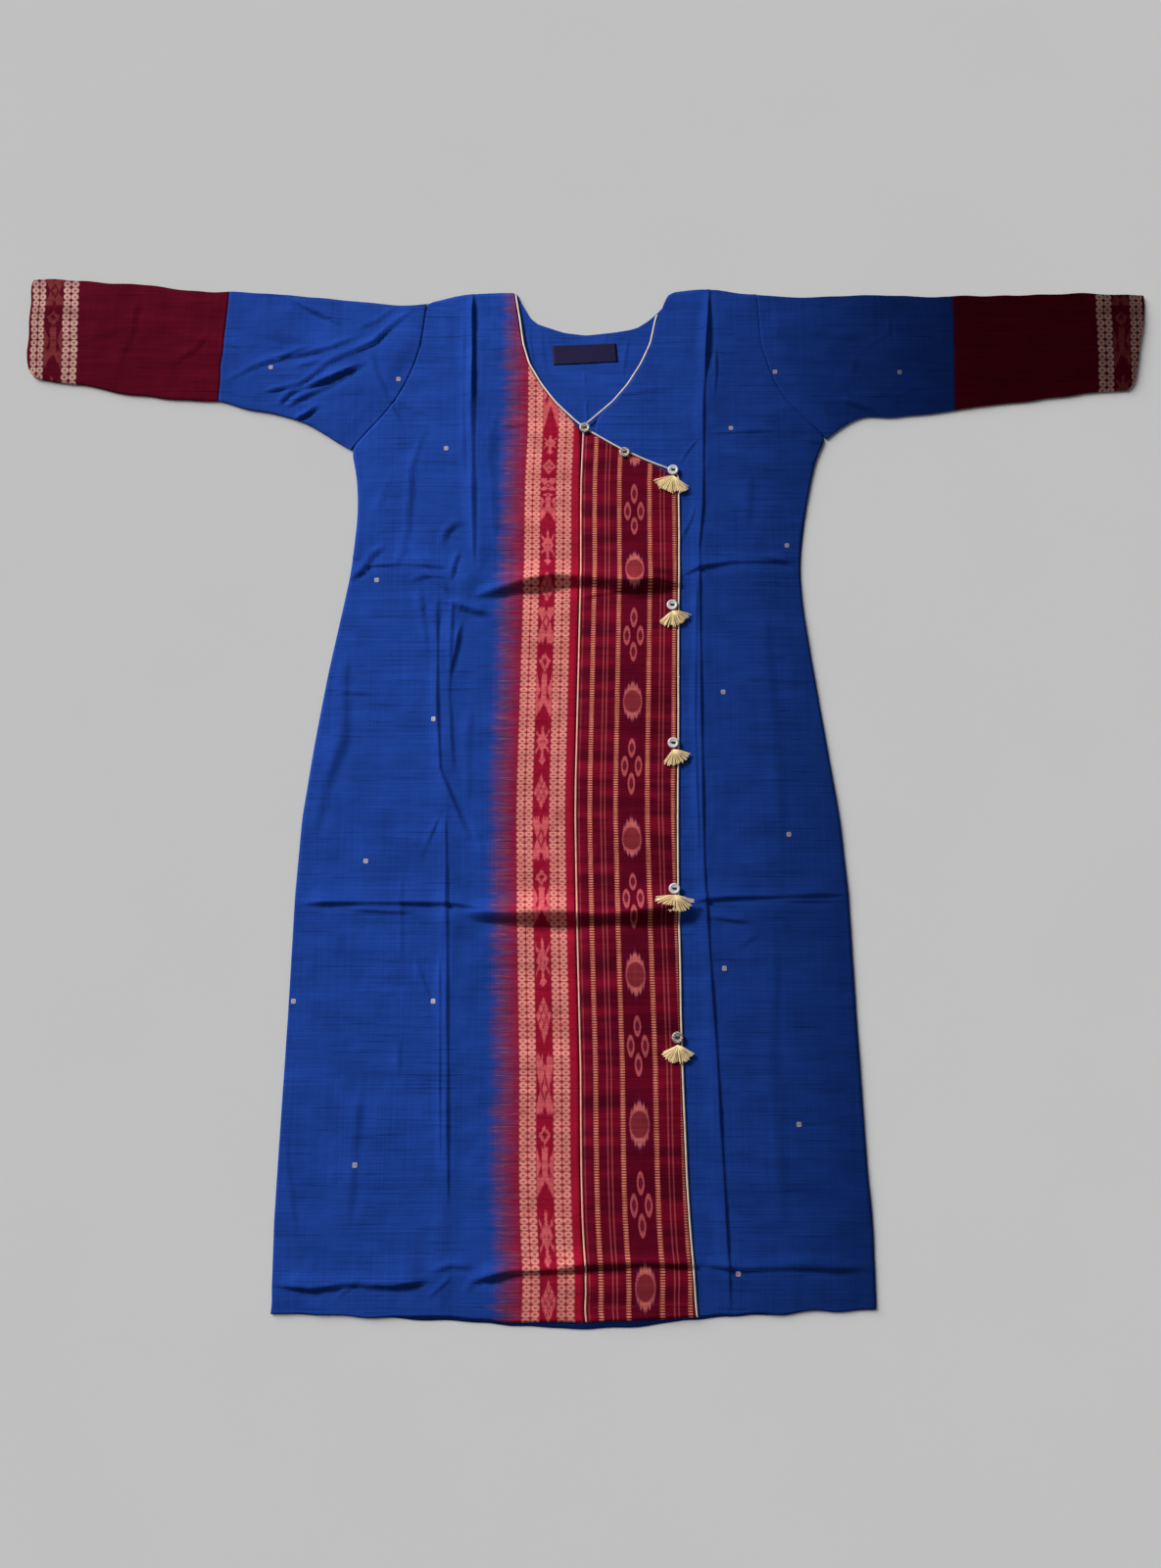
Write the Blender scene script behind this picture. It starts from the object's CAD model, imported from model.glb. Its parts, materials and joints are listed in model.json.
"""Dresses a long handloom kurti that is laid flat on its back.

The cloth is a thin shell over each panel's solid, with its creases placed by hand. Millimetres are used in
the tables below and metres in Blender. "Right" and "left" are the wearer's, so the right side is at -X.
"""

import functools
import json
import math

import bmesh
import bpy
import numpy as np
from bpy.props import FloatProperty, FloatVectorProperty, IntProperty, PointerProperty
from mathutils import Matrix, Vector, noise
from mathutils.bvhtree import BVHTree

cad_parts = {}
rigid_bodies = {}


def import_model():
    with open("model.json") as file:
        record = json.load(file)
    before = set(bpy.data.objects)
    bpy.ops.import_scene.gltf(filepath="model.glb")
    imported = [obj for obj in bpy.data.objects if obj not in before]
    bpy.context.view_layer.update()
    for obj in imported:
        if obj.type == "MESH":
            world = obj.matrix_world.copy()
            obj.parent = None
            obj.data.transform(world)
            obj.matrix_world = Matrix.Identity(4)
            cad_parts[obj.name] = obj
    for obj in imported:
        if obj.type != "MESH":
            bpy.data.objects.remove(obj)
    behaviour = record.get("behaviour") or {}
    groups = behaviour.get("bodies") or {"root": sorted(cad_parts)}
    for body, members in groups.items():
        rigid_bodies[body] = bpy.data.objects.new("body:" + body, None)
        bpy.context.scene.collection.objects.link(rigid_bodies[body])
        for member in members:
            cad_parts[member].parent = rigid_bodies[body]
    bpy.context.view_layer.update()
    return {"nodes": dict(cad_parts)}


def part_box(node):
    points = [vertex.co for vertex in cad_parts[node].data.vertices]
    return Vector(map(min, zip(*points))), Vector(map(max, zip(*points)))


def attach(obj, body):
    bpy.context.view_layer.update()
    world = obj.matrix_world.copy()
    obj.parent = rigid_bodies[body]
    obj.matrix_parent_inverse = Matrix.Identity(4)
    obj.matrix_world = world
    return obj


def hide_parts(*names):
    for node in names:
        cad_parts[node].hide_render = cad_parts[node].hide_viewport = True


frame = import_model()

bl_info = {
    "name": "Kurti laid flat",
    "version": (1, 0, 0),
    "blender": (4, 5, 0),
    "location": "View3D > Sidebar > Kurti",
    "description": "Makes the cloth, trims and lighting of a long handloom kurti",
    "category": "Add Mesh",
}

MM = 0.001

# ---- Tables ---------------------------------------------------------------------------------------------


def table(columns, rows):
    """Rows with named columns."""
    names = columns.split()
    return [dict(zip(names, row)) for row in rows]


# Creases of the upper layer. Each is a small step in the cloth: a crest, then a steep face that is centred
# on the line and looks away from LIGHT_FROM, then a slight trough. "gentle" is the width over which the
# cloth comes level again on the two sides of the steep face.
LIGHT_FROM = (-0.62, 0.78)
CREASES = table("height steep gentle line", [
    # the upper fold across the body
    (1.2, 3.7, 13, [(-262, 226), (-244, 223)]),
    (2.9, 6, 13, [(-260, 196), (-242, 211), (-232, 228), (-214, 244)]),
    (1.8, 4.3, 22, [(-250, 215), (-200, 217), (-140, 212)]),
    (1.5, 3.7, 9, [(-175, 208), (-150, 184)]),
    (1.2, 3.7, 8, [(-190, 226), (-172, 212)]),
    (2.4, 6, 11, [(-147, 197), (-143, 216), (-137, 238)]),
    (1.8, 5, 10, [(-159, 232), (-153, 254), (-145, 262), (-126, 264)]),
    (7.2, 15, 24, [(-126, 179), (-100, 184), (-82, 189), (-34, 197), (-6, 197), (45, 190), (108, 193)]),
    (1.8, 5, 14, [(-12, 178), (35, 186), (56, 190)]),
    (1.3, 3.7, 11, [(-100, 172), (-60, 180), (-20, 182)]),
    (2.2, 5, 23, [(96, 201), (123, 213), (155, 219), (233, 221)]),
    (3.7, 6, 12, [(-158, 175), (-140, 170), (-124, 164), (-98, 158)]),
    (1.2, 3.4, 12, [(-196, 196), (-172, 204), (-144, 200)]),
    (0.9, 3.1, 11, [(178, 226), (206, 222), (226, 214)]),
    # the middle fold across the body
    (2.7, 5.6, 27, [(-302, -151), (-220, -150), (-142, -151), (-96, -157)]),
    (1.3, 3.7, 13, [(-250, -157), (-169, -161)]),
    (8.8, 18, 30, [(-130, -161), (-100, -165), (0, -167), (60, -165), (122, -158)]),
    (2.7, 5.6, 25, [(96, -152), (122, -147), (148, -145), (270, -141)]),
    (1.2, 3.1, 9, [(190, -148), (269, -148)]),
    (1.6, 4.3, 13, [(120, -164), (171, -171)]),
    (1.2, 3.7, 11, [(146, -203), (176, -180)]),
    (1, 3.7, 11, [(150, -106), (200, -129)]),
    # the lower fold across the body
    (3.4, 5, 17, [(-314, -522), (-270, -526), (-233, -521), (-190, -523), (-146, -517)]),
    (2.4, 4.3, 11, [(-158, -511), (-134, -504), (-108, -506)]),
    (4.8, 8, 16, [(-122, -521), (-77, -510), (-30, -508), (0, -504), (60, -502), (118, -504)]),
    (3.4, 4.6, 15, [(104, -502), (150, -507), (200, -505), (286, -508)]),
    (1.2, 3.1, 8, [(-246, -536), (-222, -516)]),
    (1.2, 3.1, 8, [(-158, -536), (-130, -512)]),
    (1, 3.1, 8, [(-120, -532), (-106, -512)]),
    # the chest
    (1.9, 5.6, 16, [(-100, 380), (-84, 379), (-60, 381)]),
    (1.2, 3.7, 9, [(-104, 431), (-58, 432)]),
    (1.1, 3, 11, [(122, 368), (170, 372), (218, 374)]),
    (1.1, 3, 7, [(100, 330), (112, 350), (127, 368)]),
    (1.2, 4.3, 9, [(142, 412), (145, 444), (145, 480)]),
    (0.9, 3.1, 7, [(99, 240), (113, 266), (121, 292)]),
    (0.7, 3.7, 11, [(20, 412), (60, 420), (100, 424)]),
    # the lengthwise folds on the right front
    (1.9, 7, 14, [(-128, 552), (-126, 376), (-122, 216)]),
    (1.6, 5, 11, [(-129, 548), (-127, 470), (-127, 400)]),
    (0.6, 4, 9, [(-138, 520), (-137, 400), (-133, 300)]),
    (1.9, 4, 11, [(-178, 380), (-192, 330), (-194, 262), (-205, 213)]),
    (1.1, 3.1, 9, [(-206, 214), (-197, 238)]),
    (1.9, 4, 11, [(-168, 110), (-176, 160), (-181, 200)]),
    (1.6, 5, 14, [(-116, -96), (-154, -9), (-159, 70), (-161, 190)]),
    (1.1, 5, 13, [(-139, -20), (-146, 70), (-144, 190)]),
    (2.2, 7, 13, [(-147, 86), (-139, 122), (-134, 156)]),
    (1, 3, 9, [(-180, -122), (-152, -54)]),
    (1.2, 3, 9, [(-125, 69), (-124, 0), (-125, -61)]),
    (1.1, 3, 8, [(-121, -53), (-112, -84), (-102, -112)]),
    (1.4, 5, 14, [(-137, -450), (-145, -125), (-148, -50)]),
    (0.9, 3, 9, [(-146, -412), (-151, -195)]),
    (0.8, 3, 9, [(-189, -224), (-192, -112)]),
    (0.7, 3, 9, [(-188, -326), (-190, -284)]),
    (1, 3.1, 9, [(-157, -252), (-177, -202)]),
    (2, 12, 24, [(-284, -86), (-271, -23), (-255, 24), (-257, 118)]),
    (1, 3.1, 11, [(-264, 128), (-226, 127)]),
    (0.9, 3.1, 11, [(-270, 76), (-224, 71)]),
    (0.8, 4.3, 13, [(-284, -484), (-304, -360)]),
    (1.1, 10, 20, [(-234, -470), (-226, -330)]),
    (1, 12, 20, [(-98, 240), (-104, 340), (-100, 400)]),
    (0.9, 5, 13, [(-212, 330), (-232, 270)]),
    (0.7, 3.7, 13, [(-230, 420), (-190, 396), (-160, 388)]),
    # the lengthwise folds on the left front
    (1.5, 3.6, 14, [
        (139, -550), (137, -477), (134, -401), (130, -296), (127, -239), (124, -178), (121, -107), (121, 60),
        (122, 237), (127, 285), (130, 410), (139, 546),
    ]),
    (0.9, 3, 7, [(116, -110), (114, 40), (119, 206)]),
    (2.4, 7, 11, [(140, 562), (137, 500), (132, 430)]),
    (1, 12, 20, [(196, -480), (188, -300), (196, -190)]),
    (1, 12, 20, [(206, -90), (200, 60), (192, 170)]),
    (1, 10, 16, [(176, 250), (182, 330)]),
    (0.7, 4.3, 13, [(150, 92), (220, 84), (262, 90)]),
    (0.7, 4.3, 13, [(160, -330), (240, -338), (284, -332)]),
    # the right sleeve
    (3.8, 3.6, 12, [(-345, 540), (-310, 518), (-268, 496)]),
    (3.2, 4.6, 12, [(-306, 448), (-268, 465), (-238, 480), (-218, 502)]),
    (1.6, 3.4, 9, [(-244, 478), (-215, 505), (-190, 526)]),
    (1.5, 3.2, 9, [(-266, 492), (-238, 506), (-208, 530)]),
    (1.9, 3.4, 10, [(-410, 431), (-366, 452), (-328, 468), (-296, 480)]),
    (2, 3.6, 10, [(-352, 458), (-290, 472), (-242, 494)]),
    (2.2, 3.8, 10, [(-369, 417), (-320, 428), (-298, 446), (-282, 463)]),
    (1.2, 3.4, 9, [(-334, 448), (-310, 454), (-288, 462)]),
    (4.4, 5.4, 12, [(-326, 420), (-292, 431), (-268, 443), (-238, 460)]),
    (2.2, 5, 11, [(-343, 396), (-322, 410), (-290, 424), (-250, 448)]),
    (2, 3.6, 9, [(-348, 402), (-330, 418), (-314, 425)]),
    (3, 4.8, 8, [(-329, 385), (-312, 393), (-296, 405)]),
    (1.2, 3.7, 11, [(-364, 417), (-304, 437)]),
    (1.3, 3.7, 13, [(-244, 484), (-235, 443), (-217, 405), (-200, 371)]),
    (1.1, 3.7, 11, [(-410, 481), (-384, 471)]),
    (1, 4.3, 13, [(-527, 437), (-511, 495), (-505, 549)]),
    (0.7, 5, 13, [(-600, 468), (-560, 480), (-520, 500)]),
    (0.7, 4.3, 13, [(-500, 494), (-450, 486), (-414, 474)]),
    (0.8, 4.3, 11, [(-470, 446), (-440, 470), (-418, 500)]),
    # the left sleeve
    (3.8, 5, 11, [(276, 412), (300, 403), (324, 391)]),
    (1.2, 3, 7, [(300, 462), (322, 478), (340, 490), (344, 523)]),
    (0.9, 3.7, 11, [(296, 436), (300, 452), (304, 470)]),
    (1.3, 3.7, 9, [(236, 364), (262, 358)]),
    (1.1, 5, 14, [(228, 500), (268, 486), (330, 486)]),
    (1, 3.7, 13, [(340, 410), (388, 432)]),
    (0.9, 4.3, 13, [(478, 432), (470, 486), (476, 536)]),
    (0.7, 5, 13, [(520, 470), (580, 486)]),
    (0.8, 4.3, 11, [(420, 440), (446, 470), (452, 510)]),
])
# Creases inside the back of the neck: a pressed middle line and the soft pleats that fan from the scoop.
NECK_CREASES = table("height steep gentle line", [
    (1.6, 2.2, 3, [(1, 372), (-1, 420), (-5, 466)]),
    (0.8, 4, 8, [(-44, 440), (-52, 498)]),
    (0.7, 4, 8, [(-58, 448), (-66, 504)]),
    (0.7, 5, 8, [(40, 432), (48, 492)]),
    (0.6, 4, 8, [(18, 470), (24, 496)]),
    (0.6, 4, 8, [(-24, 462), (-28, 496)]),
])

# Where the figures of the woven border lie along the right front. A whole number is a spearhead, and the
# other figures of a repeat follow it at the phases of FIGURE.
BORDER_REPEATS = table("level phase", [
    (600, -1.9), (400, -1.06), (372, -0.99), (330, -0.63), (311, -0.46), (292, -0.14), (267, 0), (240, 0.12),
    (190, 0.36), (153, 0.575), (109, 0.755), (77, 0.86), (47, 1), (21, 1.12), (-33, 1.36), (-82, 1.575),
    (-123, 1.755), (-145, 1.86), (-172, 2), (-209, 2.12), (-263, 2.36), (-336, 2.575), (-380, 2.755),
    (-409, 2.86), (-440, 3), (-476, 3.12), (-522, 3.3), (-600, 3.6),
])
CUFF_REPEATS = table("level phase", [
    (600, -0.68), (543, -0.425), (512, -0.245), (483, -0.14), (449, 0), (400, 0.24),
])
FIGURE = {"star": 0.12, "tail": 0.21, "cluster": 0.36, "cross": 0.575, "loop": 0.755, "waist": 0.86}

# Where the flowers (whole numbers) and the ovals (halves) lie along the overlap.
OVERLAP_REPEATS = table("level phase", [
    (430, -1), (278, 0), (211, 0.5), (137, 1), (64, 1.5), (-5, 2), (-84, 2.5), (-144, 3), (-223, 3.5),
    (-293, 4), (-370, 4.5), (-447, 5), (-524, 5.5), (-600, 6),
])
OVERLAP_REPEAT = 146  # from flower to flower
BORDER = {"red": 10.5, "inner": 28, "outer": 44.5, "edge": 62}  # from the overlap's seam
CUFF_BORDER = {"outer": 15.5, "inner": 35, "edge": 53}  # from the end of the sleeve
CUFF_LINE = {"level": 430, "x": 623.5, "slant": 0.045}  # the end of the sleeve, which leans outwards
RING_PITCH = {"across": 8.7, "along": 6.2, "cuff": 8.2}
GOLD_STRIPES = (14.8, 41.7, 74.8, 101.8)  # from the overlap's seam
TWIN_LINES = (3.5, 26.3, 30.4, 86.5, 90.7)
MOTIF_COLUMN = 58

# Where the small woven squares lie.
SQUARES = table("x y", [
    (-156, 353), (-228, 200), (-163, 45), (-230, -106), (-157, -249), (-299, -249), (-231, -409), (159, 377),
    (217, 240), (144, 75), (209, -78), (139, -216), (210, -370), (146, -511), (-354, 450), (-211, 436),
    (210, 445), (349, 444),
])

# ---- Settings -------------------------------------------------------------------------------------------


def setting(kind, name, description, default, least=0, **more):
    return kind(name=name, description=description, default=default, min=least, **more)


def length_property(name, description, default):
    return setting(FloatProperty, name, description, default, unit="LENGTH", precision=5)


def colour_property(name, description, red, green, blue):
    """A colour given by eye as display values from 0 to 255."""
    shown = (red, green, blue)
    linear = [(c / 255 / 12.92) if c < 11 else ((c / 255 + 0.055) / 1.055) ** 2.4 for c in shown]
    return setting(FloatVectorProperty, name, description, linear, subtype="COLOR", max=1)


class ClothSizes(bpy.types.PropertyGroup):
    thickness: length_property("Thickness", "Thickness of the fronts, the overlap and the sleeves", 0.0009)
    back: length_property("Back thickness", "Thickness of the back panel", 0.0012)
    ripple: length_property("Ripple", "Height of the soft unevenness of the cloth", 0.0012)
    thread: length_property("Thread pitch", "Distance between threads of the weave", 0.0006)
    long_edge: length_property("Long edge", "Edges longer than this are cut before smoothing", 0.036)
    depth: setting(FloatProperty, "Crease depth", "Scales the creases", 1.35, max=2)


class TrimSizes(bpy.types.PropertyGroup):
    stitch: length_property("Stitch", "Length of a stitch", 0.0022)
    stitch_pitch: length_property("Stitch pitch", "Distance between the starts of stitches", 0.0034)
    stitch_radius: length_property("Stitch radius", "Radius of the sewing thread", 0.00016)
    square: length_property("Woven square", "Width of a small woven square", 0.0048)
    strand: length_property("Strand radius", "Radius of a thread in a tassel", 0.00042)
    strands: setting(IntProperty, "Strands", "Threads in each tassel", 76, 8, max=200)


class Colours(bpy.types.PropertyGroup):
    blue: colour_property("Blue", "The body and the upper sleeves", 27, 61, 142)
    plum: colour_property("Plum", "Where the border's red feathers into the blue", 92, 50, 98)
    red: colour_property("Red", "The plain stripe of the border", 158, 18, 46)
    crimson: colour_property("Crimson", "The ground of the border's figures", 142, 14, 42)
    maroon: colour_property("Maroon", "The overlap and the lower sleeves", 88, 6, 30)
    salmon: colour_property("Salmon", "Light threads of the border", 226, 142, 132)
    copper: colour_property("Copper", "Dark threads of the border", 146, 46, 52)
    gold: colour_property("Gold", "Rungs of the ladder stripes", 226, 136, 112)
    bronze: colour_property("Bronze", "Between the rungs of the ladder stripes", 124, 44, 42)
    pink: colour_property("Pink", "The figures of the border", 206, 92, 98)
    dusty: colour_property("Dusty pink", "Light threads of the cuffs' rings", 214, 166, 154)
    rust: colour_property("Rust", "The figures of the cuffs", 128, 52, 54)
    rose: colour_property("Rose", "The rings of the flowers and ovals", 184, 84, 86)
    brown: colour_property("Brown", "The middles of the ovals", 124, 36, 46)
    cream: colour_property("Cream", "The piping of the neck and the overlap", 222, 206, 190)
    peach: colour_property("Peach", "The piping of the overlap's seam", 236, 164, 144)
    thread: colour_property("Tassel thread", "The tassels", 255, 228, 172)
    pale_shell: colour_property("Pale shell", "The buttons of the edge", 208, 210, 214)
    grey_shell: colour_property("Grey shell", "The darker buttons", 134, 122, 112)
    tape: colour_property("Tape", "The neck label", 26, 20, 58)
    floor: colour_property("Floor", "The surface under the kurti", 194, 194, 194)


class StageSizes(bpy.types.PropertyGroup):
    focal: setting(FloatProperty, "Focal length", "In pixels of a picture 1600 high", 1296)
    key: setting(FloatProperty, "Key", "Power of the light from the upper left", 560, unit="POWER")
    sun: setting(FloatProperty, "Floor light", "Strength of the even light on the floor", 4.98)
    sky: setting(FloatProperty, "Sky", "Strength of the light from all round", 0.17)


# ---- Values in node trees -------------------------------------------------------------------------------


class Value:
    """A value in a node tree. Signs and methods on it add nodes to that tree."""

    def __init__(self, tree, socket):
        self.tree = tree
        self.socket = socket

    def math(self, operation, *others):
        node = self.tree.nodes.new("ShaderNodeMath")
        node.operation = operation
        for place, value in enumerate((self, *others)):
            plug(self.tree, value, node.inputs[place])
        return Value(self.tree, node.outputs[0])

    def __add__(self, other):
        return self.math("ADD", other)

    def __sub__(self, other):
        return self.math("SUBTRACT", other)

    def __mul__(self, other):
        return self.math("MULTIPLY", other)

    def __truediv__(self, other):
        return self.math("DIVIDE", other)

    def __abs__(self):
        return self.math("ABSOLUTE")

    def power(self, other):
        return self.math("POWER", other)

    def either(self, other):
        return self.math("MAXIMUM", other)

    def wave(self, period):
        """From -1 to 1 and back over one period."""
        return (self / period * (2 * math.pi)).math("SINE")

    def repeat(self, period):
        """The place in a repeat, from -0.5 to 0.5."""
        return (self / period).math("FRACT") - 0.5

    def below(self, limit, soft):
        """1 under the limit and 0 over it, with a soft step."""
        node = self.tree.nodes.new("ShaderNodeMapRange")
        node.interpolation_type = "SMOOTHSTEP"
        for name, value in (("From Min", -soft), ("From Max", soft), ("To Min", 1), ("To Max", 0)):
            node.inputs[name].default_value = value
        plug(self.tree, self - limit, node.inputs["Value"])
        return Value(self.tree, node.outputs["Result"])

    def above(self, limit, soft):
        return self.opposite(self.below(limit, soft))

    def between(self, low, high, soft):
        return self.above(low, soft) * self.below(high, soft)

    @staticmethod
    def opposite(mask):
        return (mask * -1) + 1

    def painted(self, over, mask):
        """This colour with another over it where a mask is 1."""
        return mix(self.tree, self, over, mask)


def plug(tree, value, socket):
    if isinstance(value, Value):
        tree.links.new(value.socket, socket)
    else:
        socket.default_value = value


def read(tree, attribute):
    node = tree.nodes.new("ShaderNodeAttribute")
    node.attribute_name = attribute
    return Value(tree, node.outputs["Fac"])


def place_in_mm(tree):
    """The x and y of a point, in millimetres."""
    coordinates = tree.nodes.new("ShaderNodeTexCoord")
    parts = tree.nodes.new("ShaderNodeSeparateXYZ")
    tree.links.new(coordinates.outputs["Object"], parts.inputs[0])
    return [Value(tree, parts.outputs[axis]) * 1000 for axis in ("X", "Y")]


def cloud(across, along, detail=2.0):
    """Noise from 0 to 1 at a place that is given in units of the noise's own grain."""
    tree = across.tree
    place = tree.nodes.new("ShaderNodeCombineXYZ")
    plug(tree, across, place.inputs["X"])
    plug(tree, along, place.inputs["Y"])
    node = tree.nodes.new("ShaderNodeTexNoise")
    node.inputs["Scale"].default_value = 1
    node.inputs["Detail"].default_value = detail
    tree.links.new(place.outputs[0], node.inputs["Vector"])
    return Value(tree, node.outputs["Fac"])


def mix(tree, under, over, mask, way="MIX"):
    node = tree.nodes.new("ShaderNodeMix")
    node.data_type = "RGBA"
    node.blend_type = way
    plug(tree, mask, node.inputs[0])
    plug(tree, under, node.inputs[6])
    plug(tree, over, node.inputs[7])
    return Value(tree, node.outputs[2])


def colour(name):
    return (*getattr(bpy.context.scene.kurti_colours, name), 1)


def new_group(name, inputs, outputs):
    """A node group with float inputs and outputs: the tree, its inputs by name and its output node."""
    tree = bpy.data.node_groups.new(name, "ShaderNodeTree")
    for label, default in inputs.items():
        socket = tree.interface.new_socket(label, in_out="INPUT", socket_type="NodeSocketFloat")
        socket.default_value = default
    for label in outputs:
        tree.interface.new_socket(label, in_out="OUTPUT", socket_type="NodeSocketFloat")
    source = tree.nodes.new("NodeGroupInput")
    sink = tree.nodes.new("NodeGroupOutput")
    return tree, {label: Value(tree, source.outputs[label]) for label in inputs}, sink


def use_group(tree, group, **inputs):
    node = tree.nodes.new("ShaderNodeGroup")
    node.node_tree = group
    for label, value in inputs.items():
        plug(tree, value, node.inputs[label])
    return {socket.name: Value(tree, socket) for socket in node.outputs}


def once(name, build):
    """A node group by its name, built the first time that it is asked for."""
    return bpy.data.node_groups.get(name) or build(name)


# ---- Shared patterns ------------------------------------------------------------------------------------


def build_handloom(name):
    """Uneven threads: tones for the colour, and heights for the bump."""
    tree, given, sink = new_group(name, {"Thread": 0.6, "Slub": 1.0}, ["Tone", "Height"])
    x, y = place_in_mm(tree)
    weft = cloud(x / 130, y / 1.1, 3) - 0.5
    warp = cloud(x / 1.1, y / 150, 3) - 0.5
    soft = cloud(x / 45, y / 28, 2) - 0.5
    slub = cloud(x / 60, y / 3.2, 1).above(0.66, 0.05)
    tone = weft * 1.05 + warp * 0.5 + soft * 0.6 - slub * given["Slub"] * 0.2
    threads = x.wave(given["Thread"]) * y.wave(given["Thread"])
    height = threads * 0.25 + weft * 1.1 + warp * 0.7 + slub * 0.6
    plug(tree, tone + 1, sink.inputs["Tone"])
    plug(tree, height + 0.5, sink.inputs["Height"])
    return tree


def build_rings(name):
    """Two columns of small rings with dark dots in and between them."""
    pitches = {"Pitch Across": RING_PITCH["across"], "Pitch Along": RING_PITCH["along"]}
    tree, given, sink = new_group(name, {"Across": 0, "Along": 0, **pitches}, ["Light"])
    p = abs(given["Across"].repeat(given["Pitch Across"]))
    q = abs(given["Along"].repeat(given["Pitch Along"]))
    reach = (p * p + q * q).power(0.5)
    ring = reach.between(0.17, 0.47, 0.06)
    corner = (p + q).above(0.72, 0.08)
    gap = p.above(0.455, 0.03)
    worn = cloud(given["Across"] / 40, given["Along"] / 22, 3) * 1.5
    speck = cloud(given["Across"] / 1.6, given["Along"] / 1.1) * 0.7
    pulled = cloud(given["Across"] / 24, given["Along"] / 1.3, 1).below(0.36, 0.05)
    light = (ring * 0.62 + 0.24) * Value.opposite(corner * 0.9) * Value.opposite(gap.either(pulled) * 0.5)
    plug(tree, light * (worn + speck - 0.08), sink.inputs["Light"])
    return tree


def build_figures(name):
    """The ikat figures of the border: across from -1 to 1, and the phase of BORDER_REPEATS."""
    tree, given, sink = new_group(name, {"Across": 0, "Phase": 0, "Along": 0}, ["Light"])
    bleed = cloud(given["Across"] * 1.5, given["Along"] / 1.4, 2) - 0.5
    slip = cloud(given["Across"] * 9, given["Along"] / 24, 2) - 0.5
    p = abs(given["Across"] + bleed * 0.3)
    phase = (given["Phase"] + slip * 0.05 + bleed * 0.016).math("FRACT")

    def from_figure(figure, half):
        return abs(phase - FIGURE[figure]) / half

    # pale ground round the waist and the point of the spearhead
    ground = phase.between(0.80, 0.995, 0.008) * (p - (phase - 0.925) / 0.075).above(0, 0.12)
    notch = (p - from_figure("waist", 0.06) * 0.6).below(0.42, 0.06)
    waist = ground * Value.opposite(notch * phase.below(0.91, 0.02) * p.above(0.34, 0.05))
    star_reach = p * 1.25 + from_figure("star", 0.05)
    star = star_reach.between(0.42, 1.02, 0.08)
    spikes = p.below(0.16, 0.06) * from_figure("star", 0.075).below(1, 0.1)
    arms = abs(p - from_figure("star", 0.06)).below(0.13, 0.06) * p.between(0.3, 0.85, 0.05)
    tail = (p * 2.2 + from_figure("tail", 0.024)).below(1, 0.12)
    q = (phase - FIGURE["cluster"]) / 0.085
    cluster = (p + abs(q)).below(1.0, 0.07)
    lines = abs((p + q).repeat(0.66)).below(0.1, 0.04).either(abs((p - q).repeat(0.66)).below(0.1, 0.04))
    cluster = cluster * Value.opposite(lines * 0.8)
    r = from_figure("cross", 0.095)
    cross = r.below(1, 0.06) * (p - r * 0.75).below(0.5, 0.08).either(p.below(0.45, 0.05))
    eye = (p * 1.9 + r * 1.9).between(0.55, 1.05, 0.1)
    split = p.below(0.2, 0.05) * r.above(0.72, 0.05)
    cross = cross * Value.opposite(eye * 0.85) * Value.opposite(split)
    loop = (p * 1.35 + from_figure("loop", 0.036)).between(0.48, 1.05, 0.08)
    light = waist
    for figure in (star, spikes, arms, tail, cluster, cross, loop):
        light = light.either(figure)
    shade = cloud(given["Across"] * 2, given["Along"] / 4, 3) * 1.3 + 0.22
    plug(tree, light * shade + (shade - 0.8) * 0.12, sink.inputs["Light"])
    return tree


# ---- Cloth colours --------------------------------------------------------------------------------------

# Where the border's red feathers into the blue, in millimetres from the overlap's seam: how far each colour
# reaches, and how softly it ends.
FEATHER = {"plum": (85, 10), "wine": (74, 9), "crimson": (67, 8)}
ODD_THREADS = (63, 86, 5)

# Colours that only tint another one, and those of small threads and flecks of shell.
OLD_GOLD = (0.36, 0.13, 0.05, 1)
DEEP_MAROON = (0.055, 0.001, 0.008, 1)
PETAL_HEART = (0.16, 0.012, 0.03, 1)
PEARL = (0.9, 0.88, 0.84, 1)
SHELL_SHADOW = (0.09, 0.07, 0.055, 1)
PALE_THREAD = (0.50, 0.41, 0.46, 1)
DARK_THREAD = (0.10, 0.02, 0.035, 1)
BUTTON_THREAD = (0.03, 0.02, 0.025, 1)
LABEL_THREAD = (0.012, 0.014, 0.05, 1)

# The flowers, ovals and ladder stripes of the overlap, in millimetres.
COLUMN_HALF = 13.4
PETALS = table("across along", [(0, 20), (0, -18), (-7.2, 0), (7.2, 0)])
PETAL_HALF = {"across": 3.9, "along": 11.2}
OVAL_HALF = {"across": 10, "along": 20.5}
OVAL_MIDDLE = {"across": 9, "along": 12.5}
STRIPE_HALF = 2.3
BEAD_PITCH = 2.6


def blue_colours(tree):
    """Plain royal blue."""
    return colour("blue")


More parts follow.
